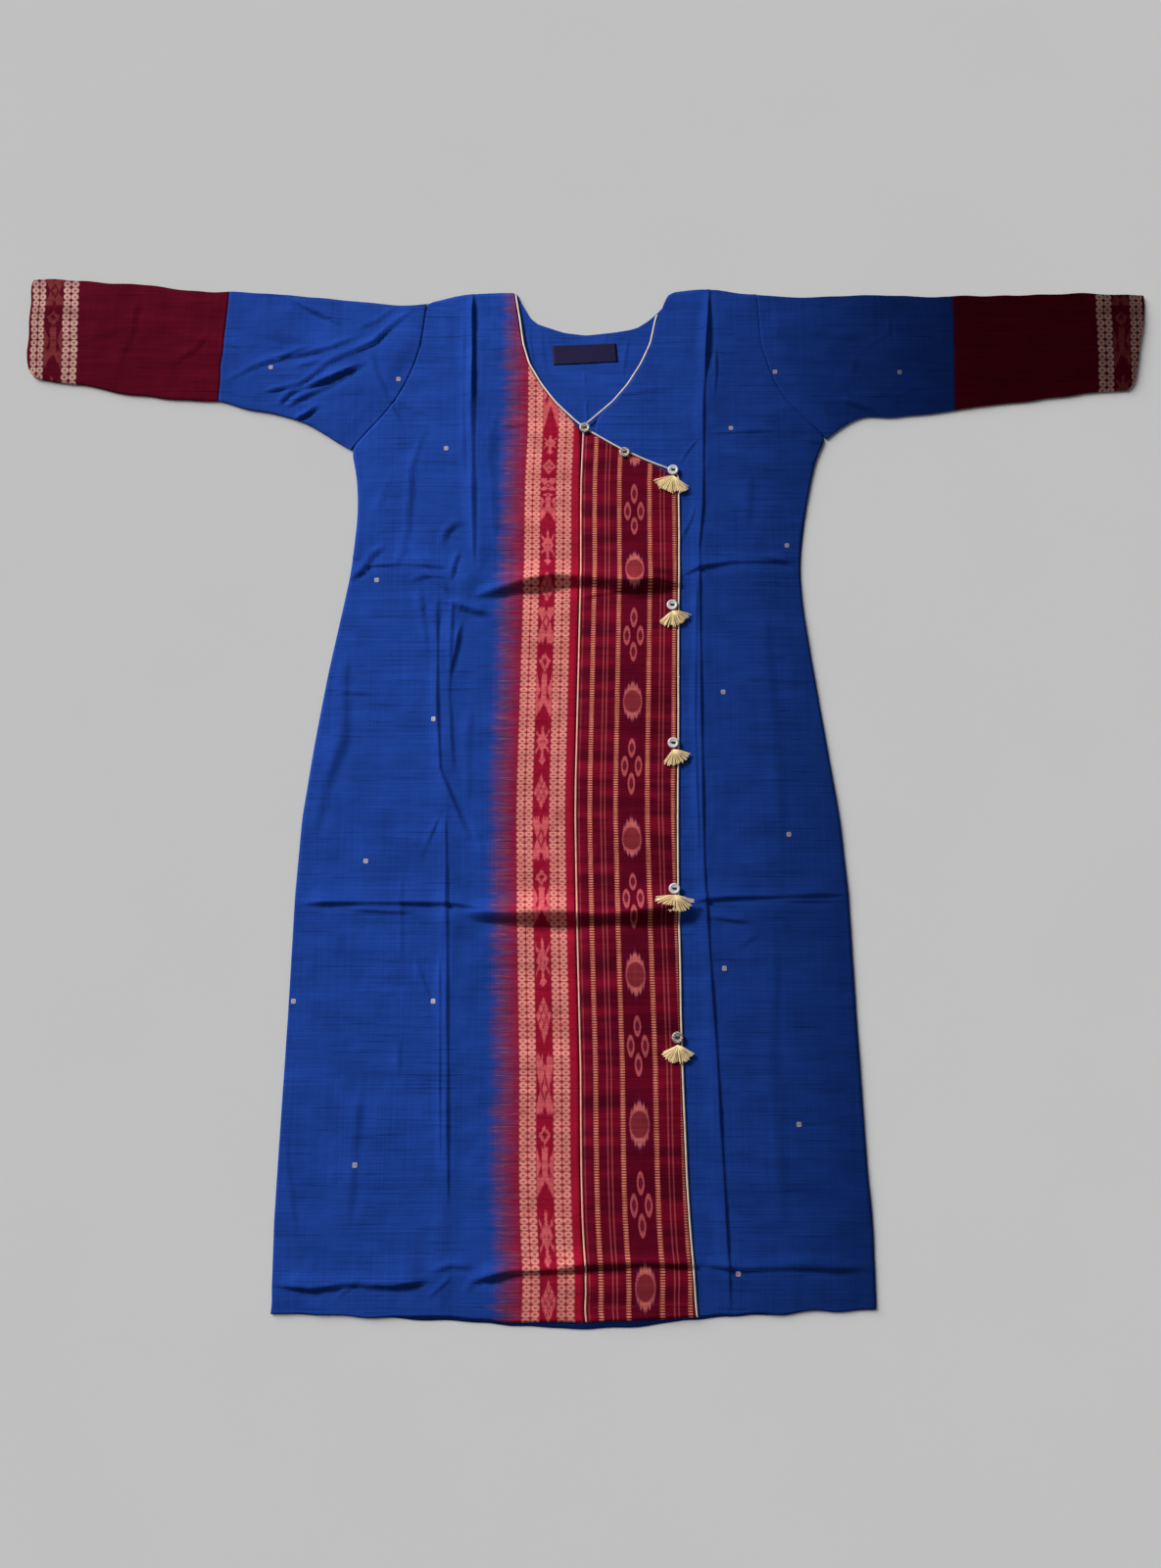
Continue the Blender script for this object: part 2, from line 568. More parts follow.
def woven_strip(tree, base, distance, y, phase, edges, pitch, tones):
    """A border: two lattices of rings with a strip of figures between them. "edges" are the distances where
    one gives way to the next, and "tones" the dark and light threads of the rings, then of the figures.
    """
    rings = once("kurti ring lattice", build_rings)
    figures = once("kurti ikat figures", build_figures)
    first, second, third, fourth = edges
    for low, high in ((first, second), (third, fourth)):
        pitches = {"Pitch Across": (high - low) / 2, "Pitch Along": pitch}
        light = use_group(tree, rings, Across=distance - low, Along=y, **pitches)["Light"]
        threads = mix(tree, colour(tones[0]), colour(tones[1]), light)
        base = base.painted(threads, distance.between(low, high, 0.5))
    across = (distance - (second + third) / 2) / ((third - second) / 2)
    light = use_group(tree, figures, Across=across, Phase=phase, Along=y)["Light"]
    shown = mix(tree, colour(tones[2]), colour(tones[3]), light)
    return base.painted(shown, distance.between(second, third, 0.5))


def right_front_colours(tree):
    """Blue that feathers into the red woven border beside the overlap's seam."""
    x, y = place_in_mm(tree)
    distance = read(tree, "from_seam") * -1
    phase = read(tree, "repeat")
    streak = cloud(x / 34, y / 1.1, 2) - 0.5
    band = cloud(x / 60, y / 7, 3) - 0.5
    fine = cloud(x / 5, y / 0.8, 1)
    edge = distance + streak * 11 + band * 22
    base = mix(tree, colour("blue"), colour("plum"), edge.below(*FEATHER["plum"]))
    base = base.painted(colour("crimson"), (edge + streak * 8).below(*FEATHER["wine"]) * 0.5)
    base = base.painted(colour("crimson"), edge.below(*FEATHER["crimson"]) * 0.72)
    odd = cloud(x / 26, y / 0.7, 1).above(0.62, 0.03) * edge.between(*ODD_THREADS) * fine
    base = base.painted(OLD_GOLD, odd * 0.8)
    base = base.painted(colour("red"), distance.below(BORDER["inner"], 0.6))
    edges = (BORDER["red"], BORDER["inner"], BORDER["outer"], BORDER["edge"])
    tones = ("copper", "salmon", "crimson", "pink")
    return woven_strip(tree, base, distance, y, phase, edges, RING_PITCH["along"], tones)


def overlap_colours(tree):
    """Maroon with gold ladder stripes, twin lines, and a column of flowers and ovals."""
    x, y = place_in_mm(tree)
    distance = read(tree, "from_seam")
    phase = read(tree, "repeat")
    bands = cloud(x / 160, y / 17, 3)
    base = mix(tree, colour("maroon"), colour("crimson"), bands.above(0.54, 0.16) * 0.55)
    base = base.painted(DEEP_MAROON, bands.below(0.44, 0.12) * 0.5)
    column = abs(distance - MOTIF_COLUMN).below(COLUMN_HALF, 0.8)
    base = base.painted(colour("maroon"), column * 0.7)
    for line in TWIN_LINES:
        strength = bands + (0.25 if line < 10 else 0.5) - 0.5
        base = base.painted(colour("rose"), abs(distance - line).below(0.65, 0.45) * strength)
    beads = y.wave(BEAD_PITCH)
    rung = beads * 0.6 + (cloud(x / 3, y / 14) - 0.5) * 1.1 + 0.4
    for stripe in GOLD_STRIPES:
        from_middle = abs(distance - stripe)
        ladder = mix(tree, colour("bronze"), colour("gold"), rung - from_middle * 0.16 + 0.14)
        base = base.painted(ladder, (from_middle - beads * 0.25).below(STRIPE_HALF, 0.4))
    base = base.painted(colour("crimson"), distance.between(104.6, 107, 0.3))

    bleed = cloud(x / 8, y / 0.8, 2) - 0.5
    mottle = cloud(x / 2.4, y / 2.0, 2)
    across = abs(distance - MOTIF_COLUMN + bleed * 1.8)
    along = abs(phase.repeat(1) * OVERLAP_REPEAT + bleed * 1.5)  # 0 at an oval
    spikes = across.wave(3.6) * along.above(9, 3)
    outline = (across / OVAL_HALF["across"]).power(2)
    outline += (abs(along - spikes * 1.8) / OVAL_HALF["along"]).power(1.9)
    fringe = (across / 3.2) + (along / 27)
    inner = (across / OVAL_MIDDLE["across"]).power(2) + (along / OVAL_MIDDLE["along"]).power(2)
    base = base.painted(colour("plum"), outline.below(1.12, 0.12).either(fringe.below(1, 0.14)) * 0.4)
    base = base.painted(colour("rose"), outline.below(0.96, 0.1) * (mottle * 0.8 + 0.5))
    base = base.painted(colour("gold"), outline.below(0.8, 0.1) * along.above(12, 2) * mottle * 0.5)
    base = base.painted(colour("brown"), inner.below(1, 0.14) * 0.92)
    from_flower = (phase + 0.5).repeat(1) * -OVERLAP_REPEAT + bleed * 1.5
    for petal in PETALS:
        p = abs(distance - MOTIF_COLUMN + bleed * 1.2 - petal["across"]) / PETAL_HALF["across"]
        q = abs(from_flower - petal["along"]) / PETAL_HALF["along"]
        reach = p.power(2) + q.power(1.6)
        base = base.painted(PETAL_HEART, reach.below(1.0, 0.12) * 0.7)
        base = base.painted(colour("rose"), reach.between(0.34, 0.95, 0.14) * (mottle * 0.7 + 0.5))
    return base


def cuff_colours(tree):
    """Maroon with the same woven border at the end of the sleeve, and a thin red line at its other end."""
    x, y = place_in_mm(tree)
    distance = read(tree, "from_cuff")
    phase = read(tree, "repeat")
    bands = cloud(x / 90, y / 8, 2)
    base = mix(tree, colour("maroon"), colour("crimson"), bands.above(0.6, 0.14) * 0.1)
    base = base.painted(colour("red"), read(tree, "from_join").below(1.0, 0.4) * 0.22)
    edges = (0.4, CUFF_BORDER["outer"], CUFF_BORDER["inner"], CUFF_BORDER["edge"])
    tones = ("maroon", "dusty", "maroon", "rust")
    return woven_strip(tree, base, distance, y, phase, edges, RING_PITCH["cuff"], tones)


# ---- Materials ------------------------------------------------------------------------------------------


def new_material(name, **sockets):
    """A material and its node tree. Sockets of its shader are given by name, with _ for a space."""
    material = bpy.data.materials.new(name)
    material.use_nodes = True
    tree = material.node_tree
    for label, value in sockets.items():
        tree.nodes["Principled BSDF"].inputs[label.replace("_", " ")].default_value = value
    return material, tree


def shaded(tree, base, shade):
    """A colour times a shade: black at 0 and as it is at 1."""
    return mix(tree, base, shade, 1, "MULTIPLY")


def finish(tree, shown, roughness, height, distance, strength):
    """Gives a material's shader its colour and roughness, and a bump of a distance in metres."""
    shader = tree.nodes["Principled BSDF"]
    plug(tree, shown, shader.inputs["Base Color"])
    plug(tree, roughness, shader.inputs["Roughness"])
    bump = tree.nodes.new("ShaderNodeBump")
    bump.inputs["Distance"].default_value = distance
    bump.inputs["Strength"].default_value = strength
    plug(tree, height, bump.inputs["Height"])
    tree.links.new(bump.outputs["Normal"], shader.inputs["Normal"])


def cloth_material(name, colours, slub=1.0):
    """Handloom cotton: uneven threads over the colours that "colours" puts in the tree."""
    fibres = {"Sheen_Weight": 0.004, "Sheen_Roughness": 0.5, "Specular_IOR_Level": 0.02}
    material, tree = new_material(name, Roughness=0.82, **fibres)
    weave = once("kurti handloom", build_handloom)
    threads = use_group(tree, weave, Thread=bpy.context.scene.kurti_cloth.thread / MM, Slub=slub)
    shown = shaded(tree, colours(tree), threads["Tone"])
    finish(tree, shown, threads["Tone"] * -0.25 + 1.03, threads["Height"], 0.00022, 0.6)
    return material


def piping_material(name, colour_name):
    """Bias piping: fine slanting threads that show as light and dark flecks."""
    material, tree = new_material(name, Roughness=0.75, Sheen_Weight=0.1)
    x, y = place_in_mm(tree)
    slant = (x + y).wave(0.9) * (x - y).wave(1.3) * 0.5 + 0.5
    wear = cloud(x / 9, y / 9, 3)
    base = mix(tree, colour(colour_name), colour("copper"), wear.above(0.56, 0.1) * 0.22)
    finish(tree, shaded(tree, base, slant * 0.22 + 0.84), wear * 0.2 + 0.68, slant, 0.00015, 0.6)
    return material


def thread_material(name, shown, twist):
    """Sewing or tassel thread: soft, with its twist in the bump."""
    material, tree = new_material(name, Roughness=0.85, Sheen_Weight=0.25)
    x, y = place_in_mm(tree)
    ply = (x + y * 0.6).wave(twist) * 0.5 + 0.5
    spread = cloud(x / 2.3, y / 2.3, 3)
    shade = ply * 0.14 + spread * 0.4 + 0.76
    finish(tree, shaded(tree, shown, shade), spread * 0.2 + 0.74, ply, 0.0001, 0.5)
    return material


def shell_material(name, colour_name):
    """Cut shell: cloudy growth bands under a satin polish."""
    material, tree = new_material(name, Roughness=0.3, Coat_Weight=0.35, Coat_Roughness=0.2)
    x, y = place_in_mm(tree)
    clouds = cloud(x / 5, y / 3.4, 4)
    bands = ((x * 0.6 + y).wave(3.1) * 0.5 + 0.5) * clouds
    base = mix(tree, colour(colour_name), PEARL, bands.above(0.34, 0.2) * 0.55)
    base = base.painted(SHELL_SHADOW, clouds.below(0.4, 0.12) * 0.35)
    finish(tree, base, clouds * 0.3 + 0.2, clouds, 0.0002, 0.3)
    return material


def tape_material(name):
    """Label tape: a fine satin weave with ribs across it."""
    material, tree = new_material(name, Roughness=0.8, Sheen_Weight=0.02, Specular_IOR_Level=0.12)
    x, y = place_in_mm(tree)
    ribs = y.wave(0.5) * 0.5 + 0.5
    worn = cloud(x / 6, y / 3, 3)
    shown = shaded(tree, colour("tape"), ribs * 0.3 + worn * 0.5 + 0.6)
    finish(tree, shown, worn * 0.2 + 0.65, ribs + worn, 0.00012, 0.5)
    return material


def floor_material(name):
    """A matt pale surface with the faintest mottle."""
    material, tree = new_material(name, Roughness=0.95, Specular_IOR_Level=0.1)
    x, y = place_in_mm(tree)
    mottle = cloud(x / 160, y / 160, 3)
    shown = shaded(tree, colour("floor"), mottle * 0.03 + 0.985)
    finish(tree, shown, mottle * 0.05 + 0.9, mottle, 0.0001, 0.1)
    return material


def material_once(name, build, *details):
    """A material by its name, built the first time that it is asked for."""
    return bpy.data.materials.get(name) or build(name, *details)


def blue_handloom():
    return material_once("blue handloom", cloth_material, blue_colours)


# ---- How the cloth lies ---------------------------------------------------------------------------------

LEAST_FRONT = 0.00225  # in metres: the back, the front's own thickness and a little air
RING_REACH = 0.0015  # the points of one ring of a piping lie within this of its level, in metres
# How far edges waver in the cloth's plane, in millimetres: the hem below a level, the sleeves beyond an x.
HEM_WAVER = {"most": 3, "level": -520, "soft": 25}
SLEEVE_WAVER = {"most": 2.2, "beyond": 250, "soft": 60, "above": 300}
# The widths and heights of the cloth's soft unevenness in millimetres, and each one's share of it.
RIPPLES = ((75, 110, 0.42), (30, 42, 0.3), (15, 15, 0.26), (7, 7, 0.15))


def smooth(value):
    """An even step from 0 to 1."""
    value = np.clip(value, 0, 1)
    return value * value * (3 - 2 * value)


def step_profile(height, steep, gentle, distance):
    """A crest, a steep face about distance 0 and a slight trough, for distances that grow down the face."""
    trough = -0.35 * height
    rise = np.clip(1 + (distance + steep / 2) / gentle, 0, 1) ** 1.6 * height
    level = np.clip(1 - (distance - steep / 2) / (0.8 * gentle), 0, 1) ** 1.6 * trough
    down = np.clip(distance / steep + 0.5, 0, 1)
    face = height + (trough - height) * (0.5 * down + 0.5 * smooth(down))
    return np.where(distance < -steep / 2, rise, np.where(distance > steep / 2, level, face))


def crease_heights(creases, places):
    """How far each crease of a table lifts points that are given in plan, in millimetres."""
    total = np.zeros(len(places))
    for crease in creases:
        line = np.array(crease["line"], float)
        chord = line[-1] - line[0]
        faces_left = chord[1] * LIGHT_FROM[0] - chord[0] * LIGHT_FROM[1] > 0
        steps = np.linalg.norm(np.diff(line, axis=0), axis=1)
        starts = np.concatenate(([0], np.cumsum(steps)))
        nearest = np.full(len(places), np.inf)
        side = np.ones(len(places))
        run = np.zeros(len(places))
        for start, end, begun, step in zip(line[:-1], line[1:], starts, steps):
            ahead = (end - start) / step
            offset = places - start
            along = np.clip(offset @ ahead, 0, step)
            away = np.linalg.norm(offset - along[:, None] * ahead, axis=1)
            closer = away < nearest
            turn = ahead[0] * offset[:, 1] - ahead[1] * offset[:, 0]
            nearest = np.where(closer, away, nearest)
            side = np.where(closer, np.where(turn > 0, 1, -1), side)
            run = np.where(closer, (begun + along) / starts[-1], run)
        distance = nearest * side * (1 if faces_left else -1)
        fade_length = min(0.34, 34 / starts[-1])
        fade = smooth(np.minimum(run, 1 - run) / fade_length)
        fade *= 0.78 + 0.22 * np.sin(run * starts[-1] / 17 + line[0][1])
        narrow = 0.3 + 0.7 * fade
        steep, gentle = crease["steep"] * narrow, crease["gentle"] * narrow
        total += step_profile(crease["height"], steep, gentle, distance) * fade
    return total


def ripple_heights(places):
    """Soft unevenness from -1 to 1, finer across the body than along it."""
    return np.array([
        sum(share * noise.noise(Vector((x / wide, y / tall, wide))) for wide, tall, share in RIPPLES)
        for x, y in places
    ])


def lift_of(plan, ripple_share=1):
    """How far creases and ripples lift the cloth at places in plan (millimetres), in metres."""
    sizes = bpy.context.scene.kurti_cloth
    creases = crease_heights(CREASES, plan) * sizes.depth * MM
    return creases + ripple_heights(plan) * sizes.ripple * ripple_share


def waver(places):
    """Moves points in place, in the cloth's plane, so that the hem and the sleeves' edges run unevenly."""
    hem, sleeve = HEM_WAVER, SLEEVE_WAVER
    for place in places:
        x, y = place[0] / MM, place[1] / MM
        near_hem = min(max((hem["level"] - y) / hem["soft"], 0), 1)
        on_sleeve = min(max((abs(x) - sleeve["beyond"]) / sleeve["soft"], 0), 1) * (y > sleeve["above"])
        reach = max(hem["most"] * near_hem, sleeve["most"] * on_sleeve)
        if reach > 0:
            place[1] += reach * noise.noise(Vector((x / 34, y / 60, 5))) * MM
            place[0] += 0.7 * reach * noise.noise(Vector((x / 50, y / 26, 9))) * MM


def copy_of(mesh):
    bm = bmesh.new()
    bm.from_mesh(mesh)
    return bm


def merged_node(node):
    """The mesh of a CAD node, its loose triangles merged at their corners."""
    bm = copy_of(frame["nodes"][node].data)
    bmesh.ops.remove_doubles(bm, verts=bm.verts, dist=1e-6)
    return bm


def keep_top(bm):
    """Leaves only the faces that look up."""
    hidden = [face for face in bm.faces if face.normal.z < 0.5]
    bmesh.ops.delete(bm, geom=hidden, context="FACES")


def join_quads(bm, angle=math.pi):
    """Joins pairs of triangles that meet at less than an angle."""
    bmesh.ops.join_triangles(bm, faces=bm.faces, angle_face_threshold=angle, angle_shape_threshold=math.pi)


def cut_long_edges(bm, limit, cuts):
    long_edges = [edge for edge in bm.edges if edge.calc_length() > limit]
    bmesh.ops.subdivide_edges(bm, edges=long_edges, cuts=cuts, use_grid_fill=True)


def inner_shell(bm):
    """The vertices of the inner of two shells."""
    islands = []
    left = set(bm.verts)
    while left:
        found = {left.pop()}
        edge = list(found)
        while edge:
            near = {link.other_vert(vertex) for vertex in edge for link in vertex.link_edges} - found
            found |= near
            edge = list(near)
        left -= found
        islands.append(found)
    return list(max(islands, key=lambda island: min(vertex.co.z for vertex in island)))


def cloth_faces(node, tube=False):
    """The outer face of a panel or a tube of cloth, as quads without its cut edges."""
    bm = merged_node(node)
    bm.normal_update()
    if tube:
        ends = [face for face in bm.faces if abs(face.normal.z) < 0.01 and abs(face.normal.x) > 0.3]
        bmesh.ops.delete(bm, geom=ends, context="FACES")
        bmesh.ops.delete(bm, geom=inner_shell(bm), context="VERTS")
    else:
        keep_top(bm)
    join_quads(bm)
    return bm


def search_tree(shapes):
    """One search tree over several bmeshes, which are freed."""
    vertices = []
    faces = []
    for bm in shapes:
        first = len(vertices)
        bm.verts.index_update()
        vertices += [vertex.co.copy() for vertex in bm.verts]
        faces += [[first + vertex.index for vertex in face.verts] for face in bm.faces]
        bm.free()
    return BVHTree.FromPolygons(vertices, faces)


@functools.cache
def resting_cloth():
    """The fronts' upper faces as they lie before creasing, worked out once."""
    return search_tree([cloth_faces(node) for node in ("front_right", "front_left")])


def rise_of(places):
    """How far the upper cloth moves up at places in plan (metres), never into the back."""
    heights = np.array([resting_cloth().find_nearest(Vector((x, y, 0.006)))[0].z for x, y in places])
    return np.maximum(lift_of(places / MM), LEAST_FRONT - heights)


def rise_at(x, y):
    return rise_of(np.array([[x, y]]))[0]


def lay_on_creases(piece):
    """Lifts a piece with the creased cloth and lets its edges waver."""
    places = places_of(piece)
    places[:, 2] += rise_of(places[:, :2])
    waver(places)
    set_places(piece, places)


# ---- Pieces ---------------------------------------------------------------------------------------------


def new_piece(name, bm, material, replaced=None):
    """A mesh object from a bmesh, riding on the body, in the place of a CAD node where one is named."""
    mesh = bpy.data.meshes.new(name)
    bm.to_mesh(mesh)
    bm.free()
    piece = bpy.data.objects.new(name, mesh)
    bpy.context.scene.collection.objects.link(piece)
    piece.data.materials.append(material)
    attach(piece, "root")
    if replaced:
        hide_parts(replaced)
    return piece


def shown_mesh(holder):
    """A new mesh of an object as it shows, with its modifiers or its bevel."""
    return bpy.data.meshes.new_from_object(holder.evaluated_get(bpy.context.evaluated_depsgraph_get()))


def apply_modifiers(piece):
    mesh = shown_mesh(piece)
    piece.modifiers.clear()
    piece.data = mesh


def subdivide(piece, levels):
    """Rounds a piece's mesh, but not the corners of its open edges."""
    modifier = piece.modifiers.new("Smooth", "SUBSURF")
    modifier.levels = levels
    modifier.render_levels = levels
    modifier.boundary_smooth = "PRESERVE_CORNERS"
    apply_modifiers(piece)


def give_thickness(piece, thickness):
    piece.data.shade_smooth()
    modifier = piece.modifiers.new("Thickness", "SOLIDIFY")
    modifier.thickness = thickness
    modifier.offset = -1
    modifier.use_even_offset = False


def places_of(piece):
    places = np.empty(len(piece.data.vertices) * 3)
    piece.data.vertices.foreach_get("co", places)
    return places.reshape(-1, 3)


def set_places(piece, places):
    piece.data.vertices.foreach_set("co", places.ravel())
    piece.data.update()


def rim_places(piece):
    """The vertices on the open edges of a piece."""
    bm = copy_of(piece.data)
    rim = np.array([vertex.co for vertex in bm.verts if vertex.is_boundary])
    bm.free()
    return rim


def store(piece, attribute, values):
    layer = piece.data.attributes.new(attribute, "FLOAT", "POINT")
    layer.data.foreach_set("value", np.asarray(values, np.float32))


def seam_line():
    """The x of the overlap's seam piping at each level that one of its rings has, lowest first."""
    places = np.array([vertex.co for vertex in frame["nodes"]["seam_piping"].data.vertices])
    levels = np.unique(np.round(places[:, 1], 5))
    middles = [places[abs(places[:, 1] - level) < RING_REACH][:, 0].mean() for level in levels]
    return levels, np.array(middles)


def store_phase(piece, places, rows):
    """Stores the phase of a pattern's repeat, which a table gives by level."""
    ordered = sorted(rows, key=lambda row: row["level"])
    levels = [row["level"] * MM for row in ordered]
    store(piece, "repeat", np.interp(places[:, 1], levels, [row["phase"] for row in ordered]))


def store_pattern(piece, rows):
    """Stores how far points lie from the overlap's seam (positive on the overlap), and a table's phase."""
    places = places_of(piece)
    levels, middles = seam_line()
    store(piece, "from_seam", (places[:, 0] - np.interp(places[:, 1], levels, middles)) / MM)
    store_phase(piece, places, rows)


# ---- The body -------------------------------------------------------------------------------------------

# What each sheet of cloth stands for and states: its flat size and area in metres, and what it lies on.
SHEETS = {row["node"]: row for row in table("node piece slot width length area rests_on", [
    ("back", "back_cloth", "blue_cloth", 0.592, 1.110, 0.571, "floor"),
    ("front_right", "front_right_cloth", "blue_cloth", 0.306, 1.102, 0.282, "back_cloth"),
    ("front_left", "front_left_cloth", "blue_cloth", 0.283, 1.105, 0.264, "back_cloth"),
    ("overlap_panel", "overlap_cloth", "maroon_cloth", 0.115, 0.934, 0.092, "front_left_cloth"),
    ("sleeve_right_upper", "sleeve_right_upper_cloth", "blue_cloth", 0.370, 0.231, 0.0639, "floor"),
    ("sleeve_right_lower", "sleeve_right_lower_cloth", "maroon_cloth", 0.272, 0.226, 0.0576, "floor"),
    ("sleeve_left_upper", "sleeve_left_upper_cloth", "blue_cloth", 0.354, 0.234, 0.0623, "floor"),
    ("sleeve_left_lower", "sleeve_left_lower_cloth", "maroon_cloth", 0.280, 0.222, 0.0533, "floor"),
])}
# Where the pleats inside the neck show, in millimetres: above a level and within an x, both softly.
NECK_PLEATS = {"above": 372, "soft_y": 30, "within": 100, "soft_x": 40}
NECK_RIPPLE = 0.0003  # in metres


def smooth_cloth(node, material, tube=False, levels=3, finer=None):
    """A panel's or tube's outer face, cut finer and smoothed, and finer still where "finer" says so."""
    bm = cloth_faces(node, tube)
    cut_long_edges(bm, bpy.context.scene.kurti_cloth.long_edge, 1)
    if finer:
        chosen = [edge for edge in bm.edges if all(finer(vertex.co) for vertex in edge.verts)]
        bmesh.ops.subdivide_edges(bm, edges=chosen, cuts=3, use_grid_fill=True)
    row = SHEETS[node]
    piece = new_piece(row["piece"], bm, material, node)
    subdivide(piece, levels)
    return piece


def finish_sheet(piece, thickness):
    """Gives a sheet its thickness and states how it was cut and how it lies."""
    give_thickness(piece, thickness)


def shows_inside_neck(place):
    return place.y > 0.36 and abs(place.x) < 0.1


def make_front(node, material, rows=None):
    """A panel of the front, which takes the creases of the upper cloth, and a pattern where it has one."""
    piece = smooth_cloth(node, material)
    if rows:
        store_pattern(piece, rows)
    lay_on_creases(piece)
    finish_sheet(piece, bpy.context.scene.kurti_cloth.thickness)


class KURTI_OT_back(bpy.types.Operator):
    """Makes the back panel, flat on the surface, with soft pleats inside the neck"""

    bl_idname = "kurti.back"
    bl_label = "Back"

    def execute(self, context):
        piece = smooth_cloth("back", blue_handloom(), levels=2, finer=shows_inside_neck)
        places = places_of(piece)
        plan = places[:, :2] / MM
        shown = smooth((plan[:, 1] - NECK_PLEATS["above"]) / NECK_PLEATS["soft_y"])
        shown *= smooth((NECK_PLEATS["within"] - abs(plan[:, 0])) / NECK_PLEATS["soft_x"])
        lift = crease_heights(NECK_CREASES, plan) * MM + ripple_heights(plan) * shown * NECK_RIPPLE
        places[:, 2] += np.maximum(lift, 0)
        waver(places)
        set_places(piece, places)
        finish_sheet(piece, context.scene.kurti_cloth.back)
        return {"FINISHED"}


class KURTI_OT_fronts(bpy.types.Operator):
    """Makes the right front with its woven border, the left front and the striped overlap"""

    bl_idname = "kurti.fronts"
    bl_label = "Fronts and overlap"

    def execute(self, context):
        border = material_once("blue handloom with border", cloth_material, right_front_colours)
        striped = material_once("striped maroon handloom", cloth_material, overlap_colours, 0.6)
        make_front("front_right", border, BORDER_REPEATS)
        make_front("front_left", blue_handloom())
        make_front("overlap_panel", striped, OVERLAP_REPEATS)
        return {"FINISHED"}


# ---- Sleeves --------------------------------------------------------------------------------------------

# In metres: how far from the armhole seam a sleeve comes down to the front's height, how much of the space
# between them it closes and how near the seam, how much always stays open, and an x that is past the seam.
ARMHOLE_REACH = 0.024
SEAM_CLOSED = 0.0016
SEAM_REACH = 0.01
SEAM_GAP = 0.0003
ARMHOLE_END = 0.29
LEAST_SLEEVE = 0.0026  # the least height of a sleeve's upper side, in metres
UPPER_SIDE = {"from": 1.9, "soft": 1.6}  # the heights in millimetres over which a sleeve's upper side begins
SLEEVE_RIPPLE = 1.3  # times that of the body


def settle_at_armhole(places, upper):
    """Brings the upper side of a sleeve down to the front's cloth beside the armhole seam."""
    for place, share in zip(places, upper):
        if share == 0 or abs(place[0]) > ARMHOLE_END:
            continue
        offset = np.array(resting_cloth().find_nearest(Vector(place))[0]) - place
        gap = math.hypot(offset[0], offset[1])
        place[2] += offset[2] * smooth(1 - gap / ARMHOLE_REACH) * share
        kept = max(gap - SEAM_CLOSED * max(1 - gap / SEAM_REACH, 0) ** 2, SEAM_GAP)
        if kept < gap:
            place[:2] += offset[:2] * (1 - kept / gap) * share


def store_cuff(piece, places):
    """Stores how far points lie from the join of a lower sleeve and from its end, and the cuff's phase."""
    out = abs(places[:, 0])
    rim = rim_places(piece)
    join = rim[abs(rim[:, 0]) < abs(places[:, 0].mean())]
    join = join[np.argsort(join[:, 1])]
    store(piece, "from_join", (out - np.interp(places[:, 1], join[:, 1], abs(join[:, 0]))) / MM)
    end = CUFF_LINE["x"] + CUFF_LINE["slant"] * (places[:, 1] / MM - CUFF_LINE["level"])
    store(piece, "from_cuff", end - out / MM)
    store_phase(piece, places, CUFF_REPEATS)


class KURTI_OT_sleeves(bpy.types.Operator):
    """Makes the blue upper and the maroon lower part of each sleeve, as tubes that lie flat"""

    bl_idname = "kurti.sleeves"
    bl_label = "Sleeves"

    def execute(self, context):
        maroon = material_once("maroon handloom with border", cloth_material, cuff_colours)
        for node in [node for node in SHEETS if "sleeve" in node]:
            lower = "lower" in node
            piece = smooth_cloth(node, maroon if lower else blue_handloom(), tube=True)
            places = places_of(piece)
            upper_side = smooth((places[:, 2] / MM - UPPER_SIDE["from"]) / UPPER_SIDE["soft"])
            lift = lift_of(places[:, :2] / MM, SLEEVE_RIPPLE)
            settle_at_armhole(places, upper_side)
            places[:, 2] += np.maximum(lift, LEAST_SLEEVE - places[:, 2]) * upper_side
            if lower:
                store_cuff(piece, places)
            waver(places)
            set_places(piece, places)
            finish_sheet(piece, context.scene.kurti_cloth.thickness)
        return {"FINISHED"}


# ---- Piping ---------------------------------------------------------------------------------------------

PIPING_CUT = 0.008  # longer edges of a piping are cut, in metres
PIPING_BEND = math.radians(25)  # triangles that meet at more than this aren't joined


class KURTI_OT_piping(bpy.types.Operator):
    """Makes the three pipings of the neck, the overlap's edge and its seam, set down on the creased cloth"""

    bl_idname = "kurti.piping"
    bl_label = "Piping"

    def execute(self, context):
        for node, tone in (("edge_piping", "cream"), ("neck_piping", "cream"), ("seam_piping", "peach")):
            bm = merged_node(node)
            join_quads(bm, PIPING_BEND)
            cut_long_edges(bm, PIPING_CUT, 3)
            material = material_once(tone + " piping", piping_material, tone)
            piece = new_piece(node + "_cord", bm, material, node)
            subdivide(piece, 1)
            lay_on_creases(piece)
            piece.data.shade_smooth()
        return {"FINISHED"}


# ---- Sewn and woven details -----------------------------------------------------------------------------

ALONG_X = Matrix.Rotation(math.pi / 2, 4, "Y")  # lays a rod down along X
# Lines of stitches, in metres: how far from the hem and from the seam they run, and where along each piece.
HEM_INSET = 0.014
SEAM_INSET = 0.0034
HEM_STITCHES = table("node low high thread", [
    ("front_right", -0.302, -0.1, "blue"), ("front_right", -0.1, -0.008, "red"),
    ("overlap_panel", 0.004, 0.1, "red"), ("front_left", 0.112, 0.275, "blue"),
])
CUFF_STITCHES = table("side x low high", [(-1, 0.616, 0.448, 0.552), (1, 0.611, 0.436, 0.535)])
CUFF_LEAN = 0.004  # how much further out the line is at its upper end
SQUARE_BARS = 8


